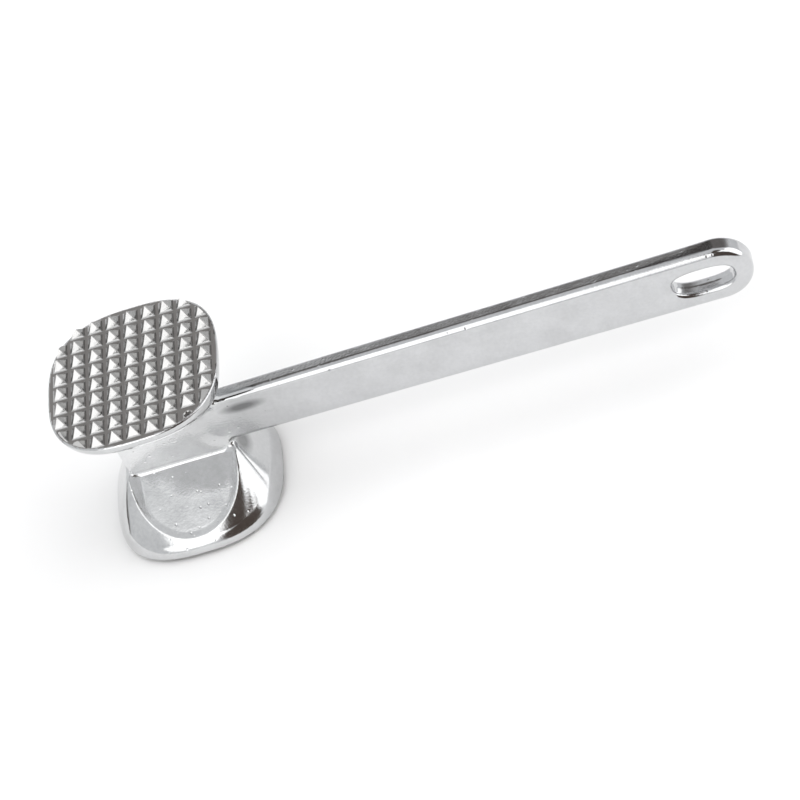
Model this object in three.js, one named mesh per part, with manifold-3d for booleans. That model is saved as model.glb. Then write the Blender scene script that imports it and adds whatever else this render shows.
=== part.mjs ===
// Two-sided meat mallet, cast in one piece from aluminium.
//
// The head is a pair of tooth plates. Behind each plate a flange rises like a
// hipped roof to the web that joins the two, and each roof has a shallow
// U-shaped pocket on both of its long sides. The web carries straight on into a
// flat handle, which widens towards a round end with a hanging slot through it.
// The casting is modelled as its natural sections, one closed solid each, with
// a hair gap between neighbours.
//
// Millimetres, +Z up. The mallet stands on its fine teeth: the origin is the
// middle of the plane through their tips. +X runs out along the handle, and the
// handle's broad faces look along -Y and +Y.

import * as THREE from 'three';
import { ConvexGeometry } from 'three/addons/geometries/ConvexGeometry.js';
import { mergeVertices } from 'three/addons/utils/BufferGeometryUtils.js';
import Module from 'manifold-3d';

// Gap left between sections that meet.
const GAP = 0.3;

// Head: from the ground of one tooth face to the ground of the other.
const HEAD_LENGTH = 61.4;
const PLATE_HALF = 30.05;
const PLATE_THICKNESS = 3.5;
const SQUARENESS = 2.67; // superellipse exponent of the plates' outline
const PLATE_POINTS = 72;

// Teeth: square pyramids on a square grid, each with a low sloping foot. The
// coarse ones stand a quarter of an inch apart.
const COARSE = {
  pitch: 6.35, rows: 9, footWidth: 5.4, footHeight: 0.36, width: 4.1, tipWidth: 0.3, height: 3.2,
};
const FINE = {
  pitch: 4.25, rows: 13, footWidth: 3.6, footHeight: 0.26, width: 2.8, tipWidth: 0.7, height: 1.7,
};
const TOOTH_ROOT = 0.4; // how far a tooth's solid is let into the plate
const TOOTH_MARGIN = 0.45; // the rim cuts the outermost teeth this far in from the plate's edge

// One coarse tooth is missing; an ejector pin leaves a small ring in its place.
const EJECTOR = { column: 3, row: -4, outerRadius: 1.7, innerRadius: 0.9, height: 0.8 };

// Flange behind each plate.
const ROOF_BASE_HALF = 29.7;
const ROOF_HEIGHT = 15.4;
const ROOF_TOP = { halfX: 19.8, halfY: 6.5, radius: 5 };

// Pocket in each long side of a roof: straight sides, then half an ellipse.
const POCKET_HALF_X = 16.8;
const POCKET_STRAIGHT = 12;
const POCKET_REACH = 27;
const POCKET_FLOOR_AT_WEB = 14.6; // height of the floor above the roof's base
const POCKET_SLOPE = 0.56; // fall of the floor for each millimetre away from the web

// Web between the roofs.
const WEB = { halfX: 18.3, halfY: 4, radius: 1.6 };

// Handle: half thickness (Y), half width (Z) and corner radius at its stations.
const NECK_START = { x: WEB.halfX + GAP, halfY: 4, halfZ: 11.2, radius: 1.6 };
const HANDLE_START = { x: 34, halfY: 3.31, halfZ: 10.16, radius: 1.3 };
const BAR_START = { ...HANDLE_START, x: HANDLE_START.x + GAP };
const HANDLE_END = { x: 168, halfY: 3.7, halfZ: 11.17, radius: 2.2 };

// Hanging eye.
const EYE_RADIUS = 11.4;
const EYE_TIP = 203.4;
const SLOT_START = 175.8;
const SLOT_END = 196.4;
const SLOT_HALF_WIDTH = 5.3;

const ALUMINIUM = { color: 0xc9cbcc, roughness: 0.28, metalness: 1 };
const BARE_CASTING = { color: 0x8f8d8c, roughness: 0.5, metalness: 1 };

const FINE_GROUND = FINE.height;
const COARSE_GROUND = FINE_GROUND + HEAD_LENGTH;
const HEAD_MIDDLE = FINE_GROUND + HEAD_LENGTH / 2;
const WEB_HALF_HEIGHT = HEAD_LENGTH / 2 - PLATE_THICKNESS - ROOF_HEIGHT - 2 * GAP;

const wasm = await Module();
wasm.setup();

// ---------------------------------------------------------------- solids

function toSolid(geometry) {
  const bare = geometry.clone();
  bare.deleteAttribute('normal');
  bare.deleteAttribute('uv');
  const merged = mergeVertices(bare, 1e-4);
  return new wasm.Manifold(new wasm.Mesh({
    numProp: 3,
    vertProperties: new Float32Array(merged.attributes.position.array),
    triVerts: new Uint32Array(merged.index.array),
  }));
}

function toGeometry(solid) {
  const mesh = solid.getMesh();
  const geometry = new THREE.BufferGeometry();
  geometry.setAttribute('position', new THREE.BufferAttribute(mesh.vertProperties, 3));
  geometry.setIndex(new THREE.BufferAttribute(mesh.triVerts, 1));
  geometry.computeVertexNormals();
  return geometry;
}

// Straight prism on an outline in the XY plane, from z = bottom to z = top.
function prism(shape, bottom, top) {
  const options = { depth: top - bottom, bevelEnabled: false, curveSegments: 12 };
  return new THREE.ExtrudeGeometry(shape, options).translate(0, 0, bottom);
}

// ---------------------------------------------------------------- outlines

// Superellipse: a square with generously rounded sides and corners.
function superellipse(half, count) {
  const points = [];
  for (let i = 0; i < count; i += 1) {
    const angle = (2 * Math.PI * i) / count;
    const cos = Math.cos(angle);
    const sin = Math.sin(angle);
    const x = half * Math.sign(cos) * Math.abs(cos) ** (2 / SQUARENESS);
    const y = half * Math.sign(sin) * Math.abs(sin) ** (2 / SQUARENESS);
    points.push(new THREE.Vector2(x, y));
  }
  return points;
}

function roundedRectangle(halfX, halfY, radius) {
  const shape = new THREE.Shape();
  const x = halfX - radius;
  const y = halfY - radius;
  shape.absarc(x, y, radius, 0, Math.PI / 2);
  shape.absarc(-x, y, radius, Math.PI / 2, Math.PI);
  shape.absarc(-x, -y, radius, Math.PI, 1.5 * Math.PI);
  shape.absarc(x, -y, radius, 1.5 * Math.PI, 2 * Math.PI);
  return shape;
}

function insidePlate(x, y) {
  return Math.abs(x / PLATE_HALF) ** SQUARENESS + Math.abs(y / PLATE_HALF) ** SQUARENESS < 1;
}

// ---------------------------------------------------------------- tooth plates

function tooth(grid) {
  const halfDiagonal = Math.SQRT1_2;
  const profile = [
    new THREE.Vector2(0, -TOOTH_ROOT),
    new THREE.Vector2(grid.footWidth * halfDiagonal, -TOOTH_ROOT),
    new THREE.Vector2(grid.footWidth * halfDiagonal, 0),
    new THREE.Vector2(grid.width * halfDiagonal, grid.footHeight),
    new THREE.Vector2(grid.tipWidth * halfDiagonal, grid.height),
    new THREE.Vector2(0, grid.height),
  ];
  return new THREE.LatheGeometry(profile, 4).rotateY(Math.PI / 4).rotateX(Math.PI / 2);
}

// A plate with its teeth up. z = 0 is the ground between the teeth.
function toothPlate(grid, isMissing) {
  const outline = new THREE.Shape(superellipse(PLATE_HALF, PLATE_POINTS));
  const toothZone = new THREE.Shape(superellipse(PLATE_HALF - TOOTH_MARGIN, PLATE_POINTS));
  const toothSolid = toSolid(tooth(grid));
  const last = (grid.rows - 1) / 2;
  let plate = toSolid(prism(outline, -PLATE_THICKNESS, 0));
  const zone = toSolid(prism(toothZone, -TOOTH_ROOT, grid.height + 1));
  for (let row = -last; row <= last; row += 1) {
    for (let column = -last; column <= last; column += 1) {
      const x = column * grid.pitch;
      const y = row * grid.pitch;
      if (insidePlate(x, y) && !isMissing(column, row)) {
        plate = plate.add(toothSolid.translate(x, y, 0).intersect(zone));
      }
    }
  }
  return plate;
}

function ejectorRing() {
  const { outerRadius, innerRadius, height } = EJECTOR;
  const profile = [
    new THREE.Vector2(innerRadius, -TOOTH_ROOT),
    new THREE.Vector2(outerRadius, -TOOTH_ROOT),
    new THREE.Vector2(outerRadius, height / 2),
    new THREE.Vector2((outerRadius + innerRadius) / 2, height),
    new THREE.Vector2(innerRadius, height / 2),
    new THREE.Vector2(innerRadius, -TOOTH_ROOT),
  ];
  return new THREE.LatheGeometry(profile, 16)
    .rotateX(Math.PI / 2)
    .translate(EJECTOR.column * COARSE.pitch, EJECTOR.row * COARSE.pitch, 0);
}

function coarseToothPlate() {
  const isEjector = (column, row) => column === EJECTOR.column && row === EJECTOR.row;
  return toGeometry(toothPlate(COARSE, isEjector).add(toSolid(ejectorRing())));
}

function fineToothPlate() {
  return toGeometry(toothPlate(FINE, () => false));
}

// ---------------------------------------------------------------- flanges

function pocketCutter() {
  const shape = new THREE.Shape();
  shape.moveTo(POCKET_HALF_X, WEB.halfY);
  shape.lineTo(POCKET_HALF_X, POCKET_STRAIGHT);
  shape.absellipse(0, POCKET_STRAIGHT, POCKET_HALF_X, POCKET_REACH - POCKET_STRAIGHT, 0, Math.PI);
  shape.lineTo(-POCKET_HALF_X, WEB.halfY);
  const floorAtMiddle = POCKET_FLOOR_AT_WEB + POCKET_SLOPE * WEB.halfY;
  const slope = new THREE.Matrix4().makeShear(0, 0, 0, -POCKET_SLOPE, 0, 0);
  return prism(shape, floorAtMiddle, floorAtMiddle + ROOF_HEIGHT).applyMatrix4(slope);
}

// The roof with its ridge up. z = 0 is the side that meets the tooth plate.
function flange() {
  const base = superellipse(ROOF_BASE_HALF, PLATE_POINTS).map((p) => new THREE.Vector3(p.x, p.y, 0));
  const top = roundedRectangle(ROOF_TOP.halfX, ROOF_TOP.halfY, ROOF_TOP.radius)
    .getPoints(8)
    .map((p) => new THREE.Vector3(p.x, p.y, ROOF_HEIGHT));
  const pocket = toSolid(pocketCutter());
  const roof = toSolid(new ConvexGeometry([...base, ...top]));
  return toGeometry(roof.subtract(pocket).subtract(pocket.rotate([0, 0, 180])));
}

function headWeb() {
  const outline = roundedRectangle(WEB.halfX, WEB.halfY, WEB.radius);
  return prism(outline, -WEB_HALF_HEIGHT, WEB_HALF_HEIGHT);
}

// ---------------------------------------------------------------- handle

function sectionPoints(station) {
  return roundedRectangle(station.halfY, station.halfZ, station.radius)
    .getPoints(6)
    .map((p) => new THREE.Vector3(station.x, p.x, p.y));
}

// Straight taper between two rounded rectangular sections.
function taperedBar(start, end) {
  return new ConvexGeometry([...sectionPoints(start), ...sectionPoints(end)]);
}

function hangingEye() {
  const start = HANDLE_END.x + GAP;
  const arcCentre = EYE_TIP - EYE_RADIUS;
  const rounding = HANDLE_END.radius;
  const overrun = 2 * rounding;
  const outline = new THREE.Shape();
  outline.moveTo(start - overrun, HANDLE_END.halfZ);
  outline.lineTo(start - overrun, -HANDLE_END.halfZ);
  outline.absarc(arcCentre, 0, EYE_RADIUS, -Math.PI / 2, Math.PI / 2);
  const rounded = new THREE.ExtrudeGeometry(outline, {
    depth: 2 * (HANDLE_END.halfY - rounding),
    bevelSize: rounding,
    bevelThickness: rounding,
    bevelOffset: -rounding,
    bevelSegments: 4,
    curveSegments: 24,
  });
  rounded.translate(0, 0, rounding - HANDLE_END.halfY);

  const slot = new THREE.Shape();
  const slotFirst = SLOT_START + SLOT_HALF_WIDTH;
  const slotLast = SLOT_END - SLOT_HALF_WIDTH;
  slot.absarc(slotLast, 0, SLOT_HALF_WIDTH, -Math.PI / 2, Math.PI / 2);
  slot.absarc(slotFirst, 0, SLOT_HALF_WIDTH, Math.PI / 2, 1.5 * Math.PI);
  const slotCutter = prism(slot, -2 * HANDLE_END.halfY, 2 * HANDLE_END.halfY);

  const length = EYE_TIP - start;
  const keep = new THREE.BoxGeometry(length, 4 * EYE_RADIUS, 4 * EYE_RADIUS)
    .translate(start + length / 2, 0, 0);
  const eye = toSolid(rounded).subtract(toSolid(slotCutter)).intersect(toSolid(keep));
  return toGeometry(eye).rotateX(Math.PI / 2);
}

// ---------------------------------------------------------------- assembly

function part(name, geometry, look, height, flipped = false) {
  const mesh = new THREE.Mesh(geometry, new THREE.MeshStandardMaterial(look));
  mesh.name = name;
  mesh.position.z = height;
  mesh.rotation.x = flipped ? Math.PI : 0;
  return mesh;
}

const head = new THREE.Group();
head.add(
  part('coarse_tooth_plate', coarseToothPlate(), BARE_CASTING, COARSE_GROUND),
  part('coarse_side_flange', flange(), ALUMINIUM, COARSE_GROUND - PLATE_THICKNESS - GAP, true),
  part('head_web', headWeb(), ALUMINIUM, HEAD_MIDDLE),
  part('fine_side_flange', flange(), ALUMINIUM, FINE_GROUND + PLATE_THICKNESS + GAP),
  part('fine_tooth_plate', fineToothPlate(), BARE_CASTING, FINE_GROUND, true),
);

const handle = new THREE.Group();
handle.add(
  part('handle_neck', taperedBar(NECK_START, HANDLE_START), ALUMINIUM, HEAD_MIDDLE),
  part('handle_bar', taperedBar(BAR_START, HANDLE_END), ALUMINIUM, HEAD_MIDDLE),
  part('hanging_eye', hangingEye(), ALUMINIUM, HEAD_MIDDLE),
);

const mallet = new THREE.Group();
mallet.add(head, handle);

export default mallet;
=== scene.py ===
"""A cast aluminium meat mallet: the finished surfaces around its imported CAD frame.

The casting's smooth body (web, flanges, handle and hanging eye) is one distance
field, so that every blend between them is a true cast fillet. The field is meshed
once and cut into the sections that the frame names. The two tooth plates are built
tooth by tooth. Lengths are in millimetres until a mesh is made, and in metres after.
"""

import math

import bmesh
import bpy
import numpy as np
from mathutils import Matrix, Vector


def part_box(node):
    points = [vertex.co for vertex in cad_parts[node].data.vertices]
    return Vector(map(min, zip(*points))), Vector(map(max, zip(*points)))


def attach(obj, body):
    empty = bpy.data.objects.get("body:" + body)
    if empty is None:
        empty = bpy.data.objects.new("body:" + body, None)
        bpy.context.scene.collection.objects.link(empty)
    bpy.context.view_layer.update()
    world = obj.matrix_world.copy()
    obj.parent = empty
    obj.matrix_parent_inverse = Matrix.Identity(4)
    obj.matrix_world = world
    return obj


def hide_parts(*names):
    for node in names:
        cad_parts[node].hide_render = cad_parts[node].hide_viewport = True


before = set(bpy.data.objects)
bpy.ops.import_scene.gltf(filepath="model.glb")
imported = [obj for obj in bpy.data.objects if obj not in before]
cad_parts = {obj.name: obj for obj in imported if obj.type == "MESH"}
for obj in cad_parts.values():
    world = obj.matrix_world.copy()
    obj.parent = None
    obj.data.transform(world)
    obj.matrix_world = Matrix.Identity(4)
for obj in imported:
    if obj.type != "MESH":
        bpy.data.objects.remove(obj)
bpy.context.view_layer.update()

MM = 0.001


# ------------------------------------------------------------------ sizes from the frame

def box_mm(node):
    low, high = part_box(node)
    return np.array(low) / MM, np.array(high) / MM


coarse_low, coarse_high = box_mm("coarse_tooth_plate")
_, fine_high = box_mm("fine_tooth_plate")
_, flange_high = box_mm("fine_side_flange")
web_low, web_high = box_mm("head_web")
neck_low, _ = box_mm("handle_neck")
bar_low, _ = box_mm("handle_bar")
eye_low, eye_high = box_mm("hanging_eye")

GAP = 0.3
PLATE_THICKNESS = 3.5
SQUARENESS = 2.67
PLATE_HALF = coarse_high[0]
HEAD_MIDDLE = (web_low[2] + web_high[2]) / 2
COARSE_GROUND = coarse_low[2] + PLATE_THICKNESS
FINE_GROUND = fine_high[2] - PLATE_THICKNESS
HEAD_HALF = COARSE_GROUND - HEAD_MIDDLE
RIM_INNER = HEAD_HALF - PLATE_THICKNESS

# Where neighbouring sections meet: the middle of each gap in the frame.
PLATE_CUT = RIM_INNER - GAP / 2
ROOF_TOP = HEAD_MIDDLE - flange_high[2]
WEB_CUT = ROOF_TOP - GAP / 2
NECK_CUT = neck_low[0] - GAP / 2
BAR_CUT = bar_low[0] - GAP / 2
EYE_CUT = eye_low[0] - GAP / 2

# Flange: a hipped roof whose half sizes grow from the ridge to the rim.
ROOF_TOP_HALF_X = 19.8
ROOF_TOP_HALF_Y = 6.5
ROOF_TOP_SHARPER = 3.3
ROOF_SPREAD_X = (PLATE_HALF - ROOF_TOP_HALF_X) / (RIM_INNER - ROOF_TOP)
ROOF_SPREAD_Y = (PLATE_HALF - ROOF_TOP_HALF_Y) / (RIM_INNER - ROOF_TOP)
RIDGE_ROUND = 1.0
RIM_BLEND = 2.5
RIM_EDGE_ROUND = 0.4
LEAN_STEP = 0.1

# Pocket in each long side of a roof.
POCKET_HALF_X = 16.8
POCKET_STRAIGHT = 12.0
POCKET_REACH = 27.0
POCKET_TOP = ROOF_TOP + 0.9
POCKET_SLOPE = 0.56
POCKET_DRAFT = 1.8
POCKET_FILLET = 1.0
POCKET_EDGE_ROUND = 0.4

# Web and handle.
WEB_HALF_X = web_high[0]
WEB_HALF_Y = web_high[1]
WEB_REACH = ROOF_TOP + 4
WEB_CORNER = 0.5
WEB_ROUND = 1.2
WEB_TO_HANDLE_FILLET = 2.0
HANDLE_ROOT_X = bar_low[0]
HANDLE_ROOT_HALF_Y = 3.31
HANDLE_ROOT_HALF_Z = 10.16
HANDLE_ROOT_ROUND = 1.9
BACK_ROUND = 1.0

# Trough: where the web thins down to the handle, between a lip above and a lip below.
TROUGH_START = 12.3
TROUGH_HALF_LENGTH = 20
TROUGH_HALF_Z = 8.6
TROUGH_CORNER = 6
TROUGH_WALL = (-2.5, 4.5)
LIP_START = 18
LIP_END = 21
LIP_PROUD = 0.05

# Hanging eye, its slot, and the draft on both sides of the parting line.
EYE_HALF_Y = eye_high[1]
EYE_RADIUS = 11.4
EYE_ROUND = 2.8
EYE_TIP = eye_high[0]
SLOT_MIDDLE = 186.6
SLOT_HALF_LENGTH = 10.0
SLOT_HALF_WIDTH = 4.75
SLOT_SQUARENESS = 2.7
SLOT_ROUND = 1.4
PARTING_LINE_Y = -0.8
PARTING_END = 195
PARTING_FADE = 12
PARTING_WIDTH_AT_SIZE = 2
PARTING_DRAFT = math.tan(math.radians(5))
SLOT_DRAFT = math.tan(math.radians(8))

# Fillet where web or handle meets a flange: small beside the pocket, larger beside the handle.
POCKET_SIDE_FILLET = 0.75
HANDLE_SIDE_FILLET = 3.5
FILLET_GROWS_FROM = 14
FILLET_GROWS_TO = 22

# Teeth. foot, width and tip are half widths: at the ground, above the hollow foot, and near the top.
COARSE = {
    "pitch": 6.35,
    "rows": 9,
    "foot": 2.72,
    "foot_height": 0.36,
    "width": 2.05,
    "height": 3.2,
    "tip": 0.16,
    "arris": 0.2,
}
FINE = {
    "pitch": 4.25,
    "rows": 13,
    "foot": 1.82,
    "foot_height": 0.26,
    "width": 1.42,
    "height": 1.7,
    "tip": 0.32,
    "arris": 0.14,
}
TOOTH_ROOT = 0.5
FOOT_STEPS = (0.1, 0.35, 0.7, 1)
FOOT_HOLLOW = 1.3
TIP_BEVEL = 0.12
LEAN_SPREAD = 0.045

# One cell has no tooth but an ejector ring, with a (radius, height) section.
EJECTOR_CELL = (3, -4)
EJECTOR_SECTION = [(1.1, -0.5), (1.9, -0.5), (1.85, 0.3), (1.7, 0.62), (1.45, 0.66), (1.2, 0.3)]
EJECTOR_POINTS_AROUND = 40
EJECTOR_UNEVENNESS = 0.15

# The teeth are cut to a zone inside the rim, as (distance in from the rim, height).
TOOTH_ZONE = [(0.5, -0.4), (0.7, 0), (2.5, 6)]
ZONE_POINTS_AROUND = 192

# Grid that the distance field is sampled on: close at the head and eye, wide along the handle.
CLOSE_STEP = 0.5
WIDE_STEP = 1.0
HEAD_REACH = 31.25
HANDLE_GRID_START = 32.0


# ------------------------------------------------------------------ distance field

def smoothstep(low, high, value):
    t = np.clip((value - low) / (high - low), 0, 1)
    return t * t * (3 - 2 * t)


def both(a, b, radius):
    """Intersection of two solids, its edge rounded to a radius."""
    corner = np.hypot(np.maximum(a + radius, 0), np.maximum(b + radius, 0))
    return np.minimum(np.maximum(a, b), -radius) + corner


def either(a, b, radius):
    """Union of two solids, with a fillet of a radius between them."""
    corner = np.hypot(np.maximum(radius - a, 0), np.maximum(radius - b, 0))
    return np.maximum(np.minimum(a, b), radius) - corner


def superellipse_distance(x, y, half_x, half_y, power):
    """Nearly the distance from a superellipse, negative inside."""
    u = np.abs(x / half_x) + 1e-6
    v = np.abs(y / half_y) + 1e-6
    size = (u**power + v**power) ** (1 / power)
    slope_x = (u / size) ** (power - 1) / half_x
    slope_y = (v / size) ** (power - 1) / half_y
    return (size - 1) / np.hypot(slope_x, slope_y)


def box_distance(x, z, half_x, half_z, radius):
    dx = np.abs(x) - half_x + radius
    dz = np.abs(z) - half_z + radius
    return np.hypot(np.maximum(dx, 0), np.maximum(dz, 0)) + np.minimum(np.maximum(dx, dz), 0) - radius


def along_handle(x, at_root, at_end):
    """A size that changes evenly from the handle's root to the middle of its round end."""
    share = (x - HANDLE_ROOT_X) / (EYE_TIP - EYE_RADIUS - HANDLE_ROOT_X)
    return at_root + (at_end - at_root) * np.minimum(share, 1)


def roof_outline(x, y, depth):
    """Level curve of a roof: nearly a rectangle at the ridge, and the plate's own outline at the rim."""
    half_x = ROOF_TOP_HALF_X + ROOF_SPREAD_X * (depth - ROOF_TOP)
    half_y = ROOF_TOP_HALF_Y + ROOF_SPREAD_Y * (depth - ROOF_TOP)
    share = np.clip((RIM_INNER - depth) / (RIM_INNER - ROOF_TOP), 0, 1)
    power = SQUARENESS + ROOF_TOP_SHARPER * share**1.5
    return superellipse_distance(x, y, np.maximum(half_x, 1), np.maximum(half_y, 1), power)


def flange_distance(x, y, z):
    depth = np.abs(z)
    sides = roof_outline(x, y, depth)
    lean = (roof_outline(x, y, depth + LEAN_STEP) - sides) / LEAN_STEP
    roof = both(sides / np.hypot(1, lean), ROOF_TOP - depth, RIDGE_ROUND)
    wall = superellipse_distance(x, y, PLATE_HALF, PLATE_HALF, SQUARENESS)
    body = both(both(roof, wall, RIM_BLEND), depth - HEAD_HALF, RIM_EDGE_ROUND)

    across = np.abs(y)
    above_floor = POCKET_TOP + POCKET_SLOPE * (across - WEB_HALF_Y) - depth
    straight = np.abs(x) - POCKET_HALF_X
    past = np.maximum(across - POCKET_STRAIGHT, 0)
    curved = superellipse_distance(x, past, POCKET_HALF_X, POCKET_REACH - POCKET_STRAIGHT, 2)
    outline = np.where(across < POCKET_STRAIGHT, straight, curved)
    side = (outline - POCKET_DRAFT * above_floor) / math.hypot(1, POCKET_DRAFT)
    pocket = both(-above_floor / math.hypot(1, POCKET_SLOPE), side, POCKET_FILLET)
    return both(body, -pocket, POCKET_EDGE_ROUND)


def bar_distance(x, y, z):
    """Web, handle and hanging eye: one flat bar with rounded edges."""
    web = box_distance(x, z, WEB_HALF_X, WEB_REACH, WEB_CORNER)
    half_z = along_handle(x, HANDLE_ROOT_HALF_Z, EYE_RADIUS)
    arc_centre = EYE_TIP - EYE_RADIUS
    sides = np.abs(z) - half_z
    tip = np.hypot(x - arc_centre, z) - EYE_RADIUS
    handle = np.maximum(np.where(x < arc_centre, sides, tip), -x)
    draft = PARTING_DRAFT * smoothstep(PARTING_END, PARTING_END - PARTING_FADE, x)
    narrowing = draft * (np.abs(y - PARTING_LINE_Y) - PARTING_WIDTH_AT_SIZE)
    outline = either(web, handle, WEB_TO_HANDLE_FILLET) + narrowing

    handle_half_y = along_handle(x, HANDLE_ROOT_HALF_Y, EYE_HALF_Y)
    along_trough = x - TROUGH_START - TROUGH_HALF_LENGTH
    trough = box_distance(along_trough, z, TROUGH_HALF_LENGTH, TROUGH_HALF_Z, TROUGH_CORNER)
    beside_trough = smoothstep(*TROUGH_WALL, trough)
    near_web = smoothstep(LIP_END, LIP_START, x)
    half_y = handle_half_y + (WEB_HALF_Y + LIP_PROUD - handle_half_y) * beside_trough * near_web
    face = np.abs(y) - half_y
    rounding = np.where(y < 0, along_handle(x, HANDLE_ROOT_ROUND, EYE_ROUND), BACK_ROUND)
    rounding = np.where(x < WEB_HALF_X, WEB_ROUND, rounding)
    bar = both(outline, face, rounding)

    slot = superellipse_distance(x - SLOT_MIDDLE, z, SLOT_HALF_LENGTH, SLOT_HALF_WIDTH, SLOT_SQUARENESS)
    around_slot = both(SLOT_DRAFT * np.abs(y) - slot, face, SLOT_ROUND)
    return np.maximum(bar, around_slot)


def casting_distance(x, y, z):
    """The whole casting without its teeth. z = 0 is the middle of the head."""
    growth = smoothstep(FILLET_GROWS_FROM, FILLET_GROWS_TO, x)
    fillet = POCKET_SIDE_FILLET + (HANDLE_SIDE_FILLET - POCKET_SIDE_FILLET) * growth
    return either(bar_distance(x, y, z), flange_distance(x, y, z), fillet)


def gradient(points, step=0.02):
    columns = []
    for axis in range(3):
        shift = np.zeros(3)
        shift[axis] = step
        ahead = casting_distance(*(points + shift).T)
        behind = casting_distance(*(points - shift).T)
        columns.append((ahead - behind) / (2 * step))
    return np.stack(columns, axis=1)


# ------------------------------------------------------------------ meshing the field

def sample_field(axes):
    x, y, z = np.meshgrid(*axes, indexing="ij", sparse=True)
    values = np.empty([len(a) for a in axes])
    for first in range(0, len(axes[0]), 16):
        rows = slice(first, first + 16)
        values[rows] = casting_distance(x[rows], y, z)
    return values


def surface_nets(axes, values):
    """A quad mesh with one point in each grid cell that the surface passes through."""
    inside = values < 0
    shape = [n - 1 for n in values.shape]
    total = np.zeros(shape + [3])
    count = np.zeros(shape)
    quads = []
    crossings = []
    for axis in range(3):
        low = [slice(None)] * 3
        high = [slice(None)] * 3
        low[axis] = slice(None, -1)
        high[axis] = slice(1, None)
        crossing = np.argwhere(inside[tuple(low)] != inside[tuple(high)])
        start = tuple(crossing.T)
        end = tuple((crossing + np.eye(3, dtype=int)[axis]).T)
        share = values[start] / (values[start] - values[end])
        point = np.stack([axes[k][crossing[:, k]] for k in range(3)], axis=1)
        point[:, axis] += share * (axes[axis][end[axis]] - axes[axis][start[axis]])
        others = [k for k in range(3) if k != axis]
        for du, dv in ((0, 0), (0, 1), (1, 0), (1, 1)):
            cell = crossing.copy()
            cell[:, others[0]] -= du
            cell[:, others[1]] -= dv
            np.add.at(total, tuple(cell.T), point)
            np.add.at(count, tuple(cell.T), 1)
        crossings.append((axis, crossing, inside[start]))
    active = np.argwhere(count > 0)
    number = np.full(shape, -1)
    number[tuple(active.T)] = np.arange(len(active))
    points = total[tuple(active.T)] / count[tuple(active.T)][:, None]
    for axis, crossing, leaving in crossings:
        first, second = [(1, 2), (2, 0), (0, 1)][axis]
        ring = []
        for du, dv in ((1, 1), (0, 1), (0, 0), (1, 0)):
            cell = crossing.copy()
            cell[:, first] -= du
            cell[:, second] -= dv
            ring.append(number[tuple(cell.T)])
        quad = np.stack(ring, axis=1)
        quads.append(np.where(leaving[:, None], quad, quad[:, ::-1]))
    return points, np.concatenate(quads)


def settle_on_surface(points, quads):
    """Evens out the mesh and puts each point exactly on the surface."""
    edges = np.concatenate([quads[:, [0, 1]], quads[:, [1, 2]], quads[:, [2, 3]], quads[:, [3, 0]]])
    degree = np.bincount(edges.ravel(), minlength=len(points))
    for _ in range(4):
        mean = np.zeros_like(points)
        np.add.at(mean, edges[:, 0], points[edges[:, 1]])
        np.add.at(mean, edges[:, 1], points[edges[:, 0]])
        points = points + 0.5 * (mean / degree[:, None] - points)
        for _ in range(2):
            slope = gradient(points)
            away = casting_distance(*points.T)
            points = points - slope * (away / np.maximum((slope**2).sum(axis=1), 0.1))[:, None]
    return points


def mesh_object(name, points_mm, faces):
    mesh = bpy.data.meshes.new(name)
    mesh.from_pydata((np.asarray(points_mm) * MM).tolist(), [], np.asarray(faces).tolist())
    mesh.update()
    obj = bpy.data.objects.new(name, mesh)
    bpy.context.scene.collection.objects.link(obj)
    return obj


def cut_section(whole, name, cuts):
    """A closed copy of the part of a mesh on the kept side of each (point, direction) plane."""
    section = bmesh.new()
    section.from_mesh(whole.data)
    for point, direction in cuts:
        everything = section.verts[:] + section.edges[:] + section.faces[:]
        result = bmesh.ops.bisect_plane(
            section, geom=everything, dist=1e-7, plane_co=Vector(point) * MM, plane_no=Vector(direction),
            clear_inner=True,
        )
        rim = [e for e in result["geom_cut"] if isinstance(e, bmesh.types.BMEdge) and e.is_boundary]
        caps = bmesh.ops.holes_fill(section, edges=rim, sides=0)["faces"]
        for edge in rim:
            edge.smooth = False
        for cap in caps:
            cap.smooth = False
    mesh = bpy.data.meshes.new(name)
    section.to_mesh(mesh)
    section.free()
    obj = bpy.data.objects.new(name, mesh)
    bpy.context.scene.collection.objects.link(obj)
    return obj


def shade_from_field(obj):
    """Smooth shading with each normal taken from the field, so that no seam shows between sections."""
    mesh = obj.data
    flat = np.zeros(len(mesh.polygons), dtype=bool)
    mesh.polygons.foreach_get("use_smooth", flat)
    points = np.zeros(len(mesh.vertices) * 3)
    mesh.vertices.foreach_get("co", points)
    points = points.reshape(-1, 3) / MM - np.array([0, 0, HEAD_MIDDLE])
    slope = gradient(points)
    slope /= np.linalg.norm(slope, axis=1)[:, None]
    corners = np.zeros(len(mesh.loops), dtype=int)
    mesh.loops.foreach_get("vertex_index", corners)
    normals = slope[corners]
    for polygon in mesh.polygons:
        if not polygon.use_smooth:
            normals[polygon.loop_start:polygon.loop_start + polygon.loop_total] = polygon.normal
    mesh.normals_split_custom_set(normals.tolist())


# ------------------------------------------------------------------ tooth plates

def superellipse_ring(half, count):
    angles = np.arange(count) * 2 * math.pi / count
    cos = np.cos(angles)
    sin = np.sin(angles)
    x = half * np.sign(cos) * np.abs(cos) ** (2 / SQUARENESS)
    y = half * np.sign(sin) * np.abs(sin) ** (2 / SQUARENESS)
    return np.stack([x, y], axis=1)


def square_ring(half, arris):
    """A square of a half width with rounded corners, as twelve points."""
    radius = min(arris, half * 0.8)
    points = []
    for corner in range(4):
        middle = math.pi / 4 + corner * math.pi / 2
        centre = (half - radius) * math.sqrt(2)
        for turn in (-math.pi / 4, 0, math.pi / 4):
            points.append((
                centre * math.cos(middle) + radius * math.cos(middle + turn),
                centre * math.sin(middle) + radius * math.sin(middle + turn),
            ))
    return np.array(points)


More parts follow.
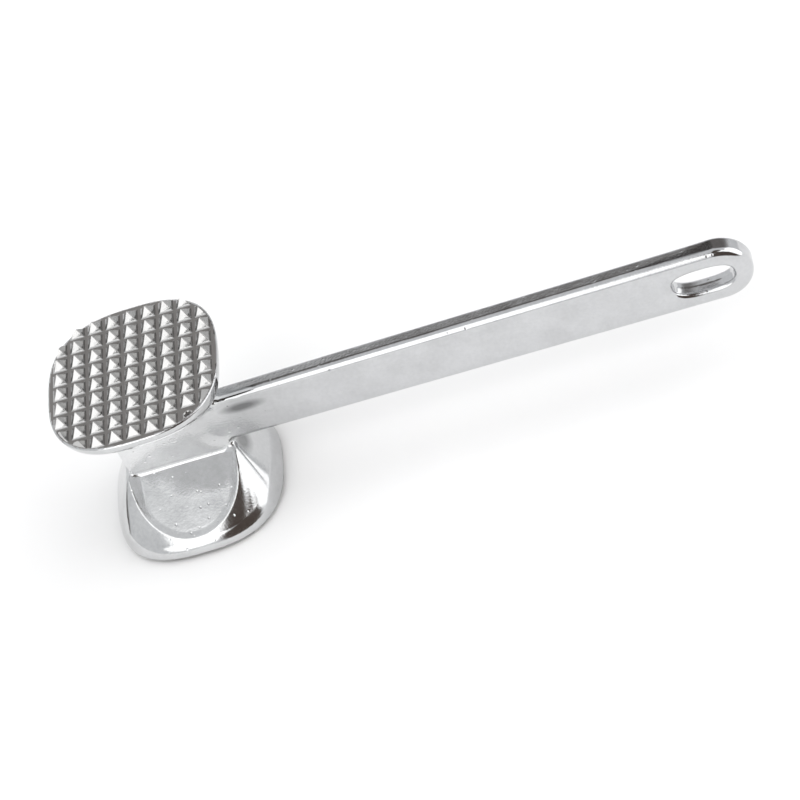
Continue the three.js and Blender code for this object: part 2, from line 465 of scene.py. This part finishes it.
def loft(bm, rings):
    """Closed solid through rings of as many points each, given as lists of 3-D points."""
    layers = [[bm.verts.new(Vector(p) * MM) for p in ring] for ring in rings]
    for lower, upper in zip(layers, layers[1:]):
        for i, vert in enumerate(lower):
            following = (i + 1) % len(lower)
            bm.faces.new((vert, lower[following], upper[following], upper[i]))
    bm.faces.new(layers[0][::-1])
    bm.faces.new(layers[-1])


def ring_at(outline, height, shift=(0, 0)):
    return [(p[0] + shift[0], p[1] + shift[1], height) for p in outline]


def tooth_profile(grid):
    """(half width, height) up one tooth: a hollow foot, a straight flank and a blunt tip."""
    profile = [(grid["foot"], -TOOTH_ROOT), (grid["foot"], 0)]
    for step in FOOT_STEPS:
        rise = grid["foot_height"] * step**FOOT_HOLLOW
        profile.append((grid["foot"] + (grid["width"] - grid["foot"]) * step, rise))
    profile.append((grid["tip"] * 1.25, grid["height"] - TIP_BEVEL))
    profile.append((grid["tip"] * 0.7, grid["height"]))
    return profile


def add_tooth(bm, grid, x, y, rng):
    lean = rng.normal(0, LEAN_SPREAD, 2)
    rings = []
    for half, height in tooth_profile(grid):
        share = max(height, 0) / grid["height"]
        outline = square_ring(half, grid["arris"] * (0.6 + 0.4 * (1 - share)))
        rings.append(ring_at(outline, height, (x + lean[0] * share, y + lean[1] * share)))
    loft(bm, rings)


def object_from(bm, name):
    bmesh.ops.recalc_face_normals(bm, faces=bm.faces)
    mesh = bpy.data.meshes.new(name)
    bm.to_mesh(mesh)
    bm.free()
    obj = bpy.data.objects.new(name, mesh)
    bpy.context.scene.collection.objects.link(obj)
    return obj


def combine(target, other, operation):
    """Applies a boolean to target and removes the other object."""
    modifier = target.modifiers.new("cut", "BOOLEAN")
    modifier.object = other
    modifier.operation = operation
    modifier.solver = "MANIFOLD"
    bpy.context.view_layer.update()
    graph = bpy.context.evaluated_depsgraph_get()
    result = bpy.data.meshes.new_from_object(target.evaluated_get(graph))
    target.modifiers.clear()
    target.data = result
    bpy.data.objects.remove(other)


def turned_ring(bm, x, y, section, around, unevenness):
    """A ring round a vertical axis, from (radius, height) points of its section."""
    columns = []
    for step in range(around):
        angle = 2 * math.pi * step / around
        wave = 1 + unevenness * math.sin(angle * 2 + 0.6)
        column = []
        for radius, height in section:
            lifted = height * wave if height > 0 else height
            point = (x + radius * math.cos(angle), y + radius * math.sin(angle), lifted)
            column.append(bm.verts.new(Vector(point) * MM))
        columns.append(column)
    for step in range(around):
        here = columns[step]
        after = columns[(step + 1) % around]
        for k in range(len(section)):
            following = (k + 1) % len(section)
            bm.faces.new((here[k], after[k], after[following], here[following]))


def tooth_plate(name, grid, seed, with_ejector_ring, place, slab):
    """Teeth on ground at z = 0, cut to the plate's outline, put in place and joined to the slab."""
    rng = np.random.default_rng(seed)
    teeth = bmesh.new()
    last = (grid["rows"] - 1) // 2
    for row in range(-last, last + 1):
        for column in range(-last, last + 1):
            x = column * grid["pitch"]
            y = row * grid["pitch"]
            on_plate = superellipse_distance(x, y, PLATE_HALF, PLATE_HALF, SQUARENESS) < 0
            is_ejector = with_ejector_ring and (column, row) == EJECTOR_CELL
            if on_plate and not is_ejector:
                add_tooth(teeth, grid, x, y, rng)
    if with_ejector_ring:
        x = EJECTOR_CELL[0] * grid["pitch"]
        y = EJECTOR_CELL[1] * grid["pitch"]
        turned_ring(teeth, x, y, EJECTOR_SECTION, EJECTOR_POINTS_AROUND, EJECTOR_UNEVENNESS)
    plate = object_from(teeth, name)

    zone = bmesh.new()
    loft(zone, [
        ring_at(superellipse_ring(PLATE_HALF - inset, ZONE_POINTS_AROUND), height)
        for inset, height in TOOTH_ZONE
    ])
    combine(plate, object_from(zone, "tooth_zone"), "INTERSECT")
    plate.data.transform(place)
    combine(plate, slab, "UNION")
    return plate


# ------------------------------------------------------------------ materials

HANDLE_TONE = (0.61, 0.615, 0.625)
FLANGE_TONE = (0.65, 0.655, 0.66)
# Painted dark reflection at the flanges' ends towards the handle.
PAINTED_DARK_FLANGE_END_TONE = (0.52, 0.525, 0.53)
# The web's tone is painted light: a lighter, lit copy of the casting's metal.
PAINTED_LIGHT_WEB_TONE = (0.82, 0.825, 0.83)
TOOTH_GROUND_TONE = (0.36, 0.345, 0.335)
TOOTH_TONE = (0.53, 0.528, 0.523)

# Where one tone of the casting gives way to the next, as x in millimetres: the web's painted light fades
# out towards the handle, and the painted dark reflection grows towards the flanges' ends.
PAINTED_LIGHT_WEB_FADES = (12, -6)
FLANGE_END_PAINTED_DARK = (19, 26)
HEAD_FADES = (50, 20)

# Half the height over which the web's painted light gives way to the flanges' tone.
WEB_BLEND = 1

# Noise scales, in cycles per metre, and relief heights, in millimetres.
CLOUD_SCALE = 110
SPECKLE_SCALE = 800
WAVE_SCALE = 60
WAVE_HEIGHT = 1.2
GRAIN_SCALE = 1300
GRAIN_HEIGHT = 0.07
PIT_SCALE = 260
PIT_DEPTH = 0.12
CASTING_ROUGHNESS = (0.08, 0.17)
CASTING_UNEVENNESS = (0.9, 1.04)

# Faint rings left by ejector pins, on both faces: (x, z, radius).
EJECTOR_MARKS = [(162.8, 33.0, 2.25), (1.5, 31.3, 1.3)]
EJECTOR_MARK_WIDTH = 0.3
EJECTOR_MARK_HEIGHT = 0.05

# Soft dark patches of painted reflection, the second also painted shade under the handle: (centre, half
# sizes, tone in the middle).
PAINTED_DARK_PATCHES = [
    ((28.5, -3.4, 36.9), (9.0, 3.0, 2.8), 0.38),
    ((22.0, -0.5, 18.5), (6.5, 7.0, 4.5), 0.45),
]

# Teeth: the ground's tone ends a little way up, and flanks that face the handle get painted dark
# reflection.
TOOTH_TONE_RISE = (0.01, 0.05)
TOOTH_PAINTED_DARK_SIDE = 0.73
TOOTH_PAINTED_DARK_FACING = (0.3, 0.7)
TOOTH_GROUND_ROUGHNESS = 0.5
TOOTH_ROUGHNESS = 0.19
TOOTH_ROUGHNESS_SPREAD = (-0.04, 0.06)
TOOTH_CLOUD_SCALE = 300
TOOTH_GRAIN_SCALE = 1500
TOOTH_GRAIN_HEIGHT = 0.08
# Painted shade in the ejector ring's recess: half sizes, lift above the ground, and tone in the middle.
RECESS_HALF_SIZES = (1.5, 1.5, 0.7)
RECESS_LIFT = 0.3
PAINTED_RECESS_SHADE = 0.2

FLOOR_TONES = (0.88, 0.9)
FLOOR_FIBRE_SCALE = 30


def new_material(name):
    material = bpy.data.materials.new(name)
    material.use_nodes = True
    nodes = material.node_tree.nodes
    return material, nodes, material.node_tree.links, nodes["Principled BSDF"]


def noise(nodes, links, source, scale, detail=3.0, rough=0.5):
    texture = nodes.new("ShaderNodeTexNoise")
    texture.inputs["Scale"].default_value = scale
    texture.inputs["Detail"].default_value = detail
    texture.inputs["Roughness"].default_value = rough
    links.new(source, texture.inputs["Vector"])
    return texture.outputs["Fac"]


def remap(nodes, links, value, low, high, to_low, to_high):
    node = nodes.new("ShaderNodeMapRange")
    node.inputs["From Min"].default_value = low
    node.inputs["From Max"].default_value = high
    node.inputs["To Min"].default_value = to_low
    node.inputs["To Max"].default_value = to_high
    links.new(value, node.inputs["Value"])
    return node.outputs["Result"]


def math_node(nodes, links, operation, first, second):
    node = nodes.new("ShaderNodeMath")
    node.operation = operation
    for socket, value in zip(node.inputs, (first, second)):
        if isinstance(value, (int, float)):
            socket.default_value = value
        else:
            links.new(value, socket)
    return node.outputs["Value"]


def mix_colours(nodes, links, blend, factor, first, second):
    node = nodes.new("ShaderNodeMix")
    node.data_type = "RGBA"
    node.blend_type = blend
    for name, value in (("Factor", factor), ("A", first), ("B", second)):
        socket = next(s for s in node.inputs if s.name == name and s.enabled)
        if isinstance(value, tuple):
            socket.default_value = (*value, 1)
        elif isinstance(value, (int, float)):
            socket.default_value = value
        else:
            links.new(value, socket)
    return next(s for s in node.outputs if s.enabled)


def bump(nodes, links, height, distance, strength, previous=None):
    node = nodes.new("ShaderNodeBump")
    node.inputs["Distance"].default_value = distance
    node.inputs["Strength"].default_value = strength
    links.new(height, node.inputs["Height"])
    if previous is not None:
        links.new(previous, node.inputs["Normal"])
    return node.outputs["Normal"]


def pits(nodes, links, source, scale):
    """1 on sound metal, falling to 0 in sparse pinholes."""
    cells = nodes.new("ShaderNodeTexVoronoi")
    cells.inputs["Scale"].default_value = scale
    cells.inputs["Randomness"].default_value = 1.0
    links.new(source, cells.inputs["Vector"])
    return remap(nodes, links, cells.outputs["Distance"], 0.03, 0.14, 0, 1)


def away_from(nodes, links, source, centre, half_sizes, depth):
    """1 everywhere, falling softly to depth inside an ellipsoid given in millimetres."""
    offset = nodes.new("ShaderNodeVectorMath")
    offset.operation = "SUBTRACT"
    offset.inputs[1].default_value = [c * MM for c in centre]
    links.new(source, offset.inputs[0])
    scaled = nodes.new("ShaderNodeVectorMath")
    scaled.operation = "DIVIDE"
    scaled.inputs[1].default_value = [h * MM for h in half_sizes]
    links.new(offset.outputs["Vector"], scaled.inputs[0])
    length = nodes.new("ShaderNodeVectorMath")
    length.operation = "LENGTH"
    links.new(scaled.outputs["Vector"], length.inputs[0])
    return remap(nodes, links, length.outputs["Value"], 0.35, 1, depth, 1)


def ring_mark(nodes, links, split, centre_x, centre_z, radius):
    """1 along a thin ring seen from the side, and 0 away from it."""
    across = math_node(nodes, links, "SUBTRACT", split.outputs["X"], centre_x * MM)
    up = math_node(nodes, links, "SUBTRACT", split.outputs["Z"], centre_z * MM)
    across_squared = math_node(nodes, links, "MULTIPLY", across, across)
    up_squared = math_node(nodes, links, "MULTIPLY", up, up)
    squared = math_node(nodes, links, "ADD", across_squared, up_squared)
    from_centre = math_node(nodes, links, "SQRT", squared, 0)
    away = math_node(nodes, links, "SUBTRACT", from_centre, radius * MM)
    distance = math_node(nodes, links, "ABSOLUTE", away, 0)
    return remap(nodes, links, distance, 0, EJECTOR_MARK_WIDTH * MM, 1, 0)


def remap_along(nodes, links, value, between, to_low, to_high):
    """remap whose input range is given in millimetres."""
    return remap(nodes, links, value, between[0] * MM, between[1] * MM, to_low, to_high)


def casting_material(name):
    """Cast aluminium with painted light in its base colour: lighter on the web as painted reflected
    light, and darker at the flanges' ends and in two patches as painted reflection and shade.
    """
    material, nodes, links, shader = new_material(name)
    coordinates = nodes.new("ShaderNodeTexCoord").outputs["Object"]
    split = nodes.new("ShaderNodeSeparateXYZ")
    links.new(coordinates, split.inputs["Vector"])
    off_middle = math_node(nodes, links, "SUBTRACT", split.outputs["Z"], HEAD_MIDDLE * MM)
    off_middle = math_node(nodes, links, "ABSOLUTE", off_middle, 0)
    on_web = remap_along(nodes, links, off_middle, (WEB_CUT + WEB_BLEND, WEB_CUT - WEB_BLEND), 0, 1)
    on_left = remap_along(nodes, links, split.outputs["X"], PAINTED_LIGHT_WEB_FADES, 0, 1)
    on_end = remap_along(nodes, links, split.outputs["X"], FLANGE_END_PAINTED_DARK, 0, 1)
    on_head = remap_along(nodes, links, split.outputs["X"], HEAD_FADES, 0, 1)
    cloud = noise(nodes, links, coordinates, CLOUD_SCALE, 5, 0.6)
    speckle = noise(nodes, links, coordinates, SPECKLE_SCALE, 3)
    cloud_share = math_node(nodes, links, "MULTIPLY", cloud, 0.65)
    speckle_share = math_node(nodes, links, "MULTIPLY", speckle, 0.35)
    blend = math_node(nodes, links, "ADD", cloud_share, speckle_share)
    # Painted dark reflection: the flanges' tone darkens towards their ends.
    flange_tone = mix_colours(nodes, links, "MIX", on_end, FLANGE_TONE, PAINTED_DARK_FLANGE_END_TONE)
    # Painted light: the web gets its lighter, lit tone on its side away from the handle.
    painted_light_web = math_node(nodes, links, "MULTIPLY", on_web, on_left)
    head_tone = mix_colours(nodes, links, "MIX", painted_light_web, flange_tone, PAINTED_LIGHT_WEB_TONE)
    tone = mix_colours(nodes, links, "MIX", on_head, HANDLE_TONE, head_tone)
    # Painted reflection and shade: each patch darkens the base colour.
    for centre, half_sizes, depth in PAINTED_DARK_PATCHES:
        outside_painted_dark = away_from(nodes, links, coordinates, centre, half_sizes, depth)
        tone = mix_colours(nodes, links, "MULTIPLY", 1, tone, outside_painted_dark)
    uneven = remap(nodes, links, blend, 0.35, 0.65, *CASTING_UNEVENNESS)
    links.new(mix_colours(nodes, links, "MULTIPLY", 1, tone, uneven), shader.inputs["Base Color"])
    links.new(remap(nodes, links, cloud, 0.3, 0.7, *CASTING_ROUGHNESS), shader.inputs["Roughness"])
    shader.inputs["Metallic"].default_value = 1.0
    wave = noise(nodes, links, coordinates, WAVE_SCALE, 1)
    waves = bump(nodes, links, wave, WAVE_HEIGHT * MM, 0.06)
    grains = noise(nodes, links, coordinates, GRAIN_SCALE, 2)
    grain = bump(nodes, links, grains, GRAIN_HEIGHT * MM, 0.22, waves)
    relief = bump(nodes, links, pits(nodes, links, coordinates, PIT_SCALE), PIT_DEPTH * MM, 0.5, grain)
    for centre_x, centre_z, radius in EJECTOR_MARKS:
        ring = ring_mark(nodes, links, split, centre_x, centre_z, radius)
        relief = bump(nodes, links, ring, EJECTOR_MARK_HEIGHT * MM, 0.5, relief)
    links.new(relief, shader.inputs["Normal"])
    return material


def tooth_material(name, ground, toward_teeth, recess=None):
    """Matt grey between the teeth, brighter on their flanks, with painted dark reflection on flanks that
    face the handle and painted shade at the middle of a recess.

    ground is the height between the teeth, in metres, and toward_teeth is 1 up or -1 down.
    """
    material, nodes, links, shader = new_material(name)
    texture_space = nodes.new("ShaderNodeTexCoord")
    coordinates = texture_space.outputs["Object"]
    split = nodes.new("ShaderNodeSeparateXYZ")
    links.new(coordinates, split.inputs["Vector"])
    start, finish = (ground + toward_teeth * rise * MM for rise in TOOTH_TONE_RISE)
    up_tooth = remap(nodes, links, split.outputs["Z"], start, finish, 0, 1)
    cloud = noise(nodes, links, coordinates, TOOTH_CLOUD_SCALE, 3)
    mixed = nodes.new("ShaderNodeValToRGB")
    mixed.color_ramp.elements[0].color = (*TOOTH_GROUND_TONE, 1)
    mixed.color_ramp.elements[1].color = (*TOOTH_TONE, 1)
    links.new(up_tooth, mixed.inputs["Fac"])
    # Painted reflection: flanks that face +X, towards the handle, are darkened.
    facing = nodes.new("ShaderNodeSeparateXYZ")
    links.new(texture_space.outputs["Normal"], facing.inputs["Vector"])
    painted_dark_flank = remap(nodes, links, facing.outputs["X"], *TOOTH_PAINTED_DARK_FACING, 1, TOOTH_PAINTED_DARK_SIDE)
    tone = mix_colours(nodes, links, "MULTIPLY", 1, mixed.outputs["Color"], painted_dark_flank)
    # Painted shade at the middle of the ejector ring's recess.
    if recess is not None:
        outside_painted_dark = away_from(nodes, links, coordinates, recess, RECESS_HALF_SIZES, PAINTED_RECESS_SHADE)
        tone = mix_colours(nodes, links, "MULTIPLY", 1, tone, outside_painted_dark)
    links.new(tone, shader.inputs["Base Color"])
    base_rough = remap(nodes, links, up_tooth, 0, 1, TOOTH_GROUND_ROUGHNESS, TOOTH_ROUGHNESS)
    uneven = remap(nodes, links, cloud, 0.3, 0.7, *TOOTH_ROUGHNESS_SPREAD)
    links.new(math_node(nodes, links, "ADD", base_rough, uneven), shader.inputs["Roughness"])
    shader.inputs["Metallic"].default_value = 1.0
    grains = noise(nodes, links, coordinates, TOOTH_GRAIN_SCALE, 2)
    links.new(bump(nodes, links, grains, TOOTH_GRAIN_HEIGHT * MM, 0.5), shader.inputs["Normal"])
    return material


def floor_material():
    material, nodes, links, shader = new_material("pale_floor")
    coordinates = nodes.new("ShaderNodeTexCoord").outputs["Object"]
    fibre = noise(nodes, links, coordinates, FLOOR_FIBRE_SCALE, 2)
    ramp = nodes.new("ShaderNodeValToRGB")
    for element, tone in zip(ramp.color_ramp.elements, FLOOR_TONES):
        element.color = (tone, tone, tone, 1)
    links.new(fibre, ramp.inputs["Fac"])
    links.new(ramp.outputs["Color"], shader.inputs["Base Color"])
    shader.inputs["Roughness"].default_value = 0.9
    shader.inputs["Specular IOR Level"].default_value = 0.1
    return material


# ------------------------------------------------------------------ building the pieces

def build_body():
    """The whole casting without its teeth, as one closed mesh."""
    head = np.arange(-HEAD_REACH, HEAD_REACH + CLOSE_STEP / 2, CLOSE_STEP)
    handle = np.arange(HANDLE_GRID_START, EYE_CUT + 4, WIDE_STEP)
    eye = np.arange(handle[-1] + CLOSE_STEP, EYE_TIP + 1.5, CLOSE_STEP)
    axes = [np.concatenate([head, handle, eye]), head, head]
    points, quads = surface_nets(axes, sample_field(axes))
    points = settle_on_surface(points, quads)
    whole = mesh_object("whole_casting", points + np.array([0, 0, HEAD_MIDDLE]), quads)
    for polygon in whole.data.polygons:
        polygon.use_smooth = True
    return whole


def plane(axis, at, sign):
    """A cut across an axis that keeps the higher side, or the lower side when sign is -1."""
    point = [0, 0, HEAD_MIDDLE]
    point[axis] = at + (HEAD_MIDDLE if axis == 2 else 0)
    direction = [0, 0, 0]
    direction[axis] = sign
    return point, direction


SECTIONS = {
    "coarse_tooth_plate": [plane(2, PLATE_CUT, 1)],
    "fine_tooth_plate": [plane(2, -PLATE_CUT, -1)],
    "coarse_side_flange": [plane(2, WEB_CUT, 1), plane(2, PLATE_CUT, -1)],
    "fine_side_flange": [plane(2, -WEB_CUT, -1), plane(2, -PLATE_CUT, 1)],
    "head_web": [plane(2, WEB_CUT, -1), plane(2, -WEB_CUT, 1), plane(0, NECK_CUT, -1)],
    "handle_neck": [
        plane(2, WEB_CUT, -1),
        plane(2, -WEB_CUT, 1),
        plane(0, NECK_CUT, 1),
        plane(0, BAR_CUT, -1),
    ],
    "handle_bar": [plane(0, BAR_CUT, 1), plane(0, EYE_CUT, -1)],
    "hanging_eye": [plane(0, EYE_CUT, 1)],
}

# The casting's metal also carries painted light: a lit web, and painted dark reflection and shade.
body_metal = casting_material("polished_casting")


def hand_over(piece, node):
    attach(piece, "root")
    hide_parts(node)


# Faces of a tooth plate with their middle further than this below its ground are its smooth side.
EDGE_TOLERANCE = 0.02

whole_casting = build_body()
sections = {node: cut_section(whole_casting, node + "_casting", cuts) for node, cuts in SECTIONS.items()}
bpy.data.objects.remove(whole_casting)

coarse_place = Matrix.Translation((0, 0, COARSE_GROUND * MM))
fine_place = Matrix.Translation((0, 0, FINE_GROUND * MM)) @ Matrix.Rotation(math.pi, 4, "X")
for node, grid, seed, has_ring, place, ground, up in (
    ("coarse_tooth_plate", COARSE, 7, True, coarse_place, COARSE_GROUND, 1),
    ("fine_tooth_plate", FINE, 11, False, fine_place, FINE_GROUND, -1),
):
    slab = sections.pop(node)
    slab.name = node + "_slab"
    plate = tooth_plate(node + "_casting", grid, seed, has_ring, place, slab)
    plate.data.materials.clear()
    recess = None
    if has_ring:
        # Centre of the painted shade in the ejector ring's recess.
        recess_x, recess_y = (cell * COARSE["pitch"] for cell in EJECTOR_CELL)
        recess = (recess_x, recess_y, ground + RECESS_LIFT)
    plate.data.materials.append(tooth_material(node + "_metal", ground * MM, up, recess))
    plate.data.materials.append(body_metal)
    edge_level = (ground - up * EDGE_TOLERANCE) * MM
    for polygon in plate.data.polygons:
        on_side = bool(up * polygon.center.z < up * edge_level)
        polygon.use_smooth = on_side
        polygon.material_index = 1 if on_side else 0
    hand_over(plate, node)

for node, piece in sections.items():
    shade_from_field(piece)
    piece.data.materials.append(body_metal)
    hand_over(piece, node)


# ------------------------------------------------------------------ floor, light and camera

# Here lengths are in metres.
FLOOR_SIZE = 6.0
FLOOR_LIGHT_SIZE = 3.0
FLOOR_LIGHT_WATTS = 22
FLOOR_LIGHT_PLACE = (0.05, 0, 1.6)
CAMERA_AIM = Vector((0.0765, 0, 0.015))
CAMERA_DISTANCE = 1.1835
CAMERA_AZIMUTH = math.radians(16.68)
CAMERA_ELEVATION = math.radians(45.69)
CAMERA_ROLL = math.radians(-28.3)
CAMERA_LENS = 159.8
SENSOR_WIDTH = 36


def add_floor():
    bm = bmesh.new()
    bmesh.ops.create_grid(bm, x_segments=8, y_segments=8, size=FLOOR_SIZE / 2)
    floor = object_from(bm, "studio_floor")
    floor.data.materials.append(floor_material())


def add_floor_light():
    """Whitens the floor, and is left out of the metal's reflections."""
    light = bpy.data.lights.new("floor_light", "AREA")
    light.size = FLOOR_LIGHT_SIZE
    light.energy = FLOOR_LIGHT_WATTS
    obj = bpy.data.objects.new("floor_light", light)
    obj.location = FLOOR_LIGHT_PLACE
    obj.visible_glossy = False
    bpy.context.scene.collection.objects.link(obj)


def toward(azimuth, elevation):
    """The direction at an azimuth to the right of -Y and an elevation, in degrees."""
    turn = math.radians(azimuth)
    rise = math.radians(elevation)
    return Vector((math.cos(rise) * math.sin(turn), -math.cos(rise) * math.cos(turn), math.sin(rise)))


def add_world(tone, patches):
    """A soft studio all round: an even tone, with lighter or darker panels around some directions."""
    world = bpy.data.worlds.new("studio")
    world.use_nodes = True
    bpy.context.scene.world = world
    nodes = world.node_tree.nodes
    links = world.node_tree.links
    direction = nodes.new("ShaderNodeTexCoord").outputs["Generated"]
    so_far = None
    for centre, inner, outer, panel_tone in patches:
        dot = nodes.new("ShaderNodeVectorMath")
        dot.operation = "DOT_PRODUCT"
        dot.inputs[1].default_value = centre
        links.new(direction, dot.inputs[0])
        share = nodes.new("ShaderNodeMapRange")
        share.interpolation_type = "SMOOTHSTEP"
        share.inputs["From Min"].default_value = math.cos(math.radians(outer))
        share.inputs["From Max"].default_value = math.cos(math.radians(inner))
        links.new(dot.outputs["Value"], share.inputs["Value"])
        mix = nodes.new("ShaderNodeMix")
        mix.data_type = "RGBA"
        mix.inputs["A"].default_value = (*tone, 1)
        mix.inputs["B"].default_value = (*panel_tone, 1)
        links.new(share.outputs["Result"], mix.inputs["Factor"])
        if so_far is not None:
            links.new(so_far, mix.inputs["A"])
        so_far = mix.outputs["Result"]
    links.new(so_far, nodes["Background"].inputs["Color"])


def add_camera():
    camera = bpy.data.cameras.new("camera")
    camera.lens = CAMERA_LENS
    camera.sensor_width = SENSOR_WIDTH
    camera.clip_end = 20
    obj = bpy.data.objects.new("camera", camera)
    toward_camera = Vector((
        math.sin(CAMERA_AZIMUTH) * math.cos(CAMERA_ELEVATION),
        -math.cos(CAMERA_AZIMUTH) * math.cos(CAMERA_ELEVATION),
        math.sin(CAMERA_ELEVATION),
    ))
    level = toward_camera.to_track_quat("Z", "Y").to_matrix().to_4x4()
    place = Matrix.Translation(CAMERA_AIM + toward_camera * CAMERA_DISTANCE)
    roll = Matrix.Rotation(CAMERA_ROLL, 4, "Z")
    obj.matrix_world = place @ level @ roll
    bpy.context.scene.collection.objects.link(obj)
    bpy.context.scene.camera = obj


STUDIO_TONE = (0.79, 0.8, 0.81)
WHITE_PANEL = (2.0, 2.0, 2.0)
DARK_ROOM = (0.1, 0.08, 0.07)
BACK_ROOM = (0.17, 0.16, 0.155)

# (direction, radius where a panel begins to fade, radius where it ends, tone), radii in degrees.
# Where panels overlap, the later one covers the earlier.
STUDIO_PANELS = [
    (toward(-22, 24), 13, 20, WHITE_PANEL),
    (toward(-20, 42), 11, 17, WHITE_PANEL),
    (toward(-31, 58), 5, 12, WHITE_PANEL),
    (toward(-170, 48), 13, 15.5, BACK_ROOM),
    (toward(158, 42), 12, 28, BACK_ROOM),
    (toward(-98, 5), 4, 8, BACK_ROOM),
    (toward(29, 18), 31, 36, DARK_ROOM),
    (toward(12, 60), 10, 15, DARK_ROOM),
    (toward(92, 24), 27, 33, WHITE_PANEL),
    (toward(47, 58), 8, 12, WHITE_PANEL),
    (toward(60, 46), 8, 11, WHITE_PANEL),
    (toward(38, 70), 10, 14, DARK_ROOM),
]

add_floor()
add_floor_light()
add_world(STUDIO_TONE, STUDIO_PANELS)
add_camera()
bpy.context.scene.view_settings.view_transform = "Standard"
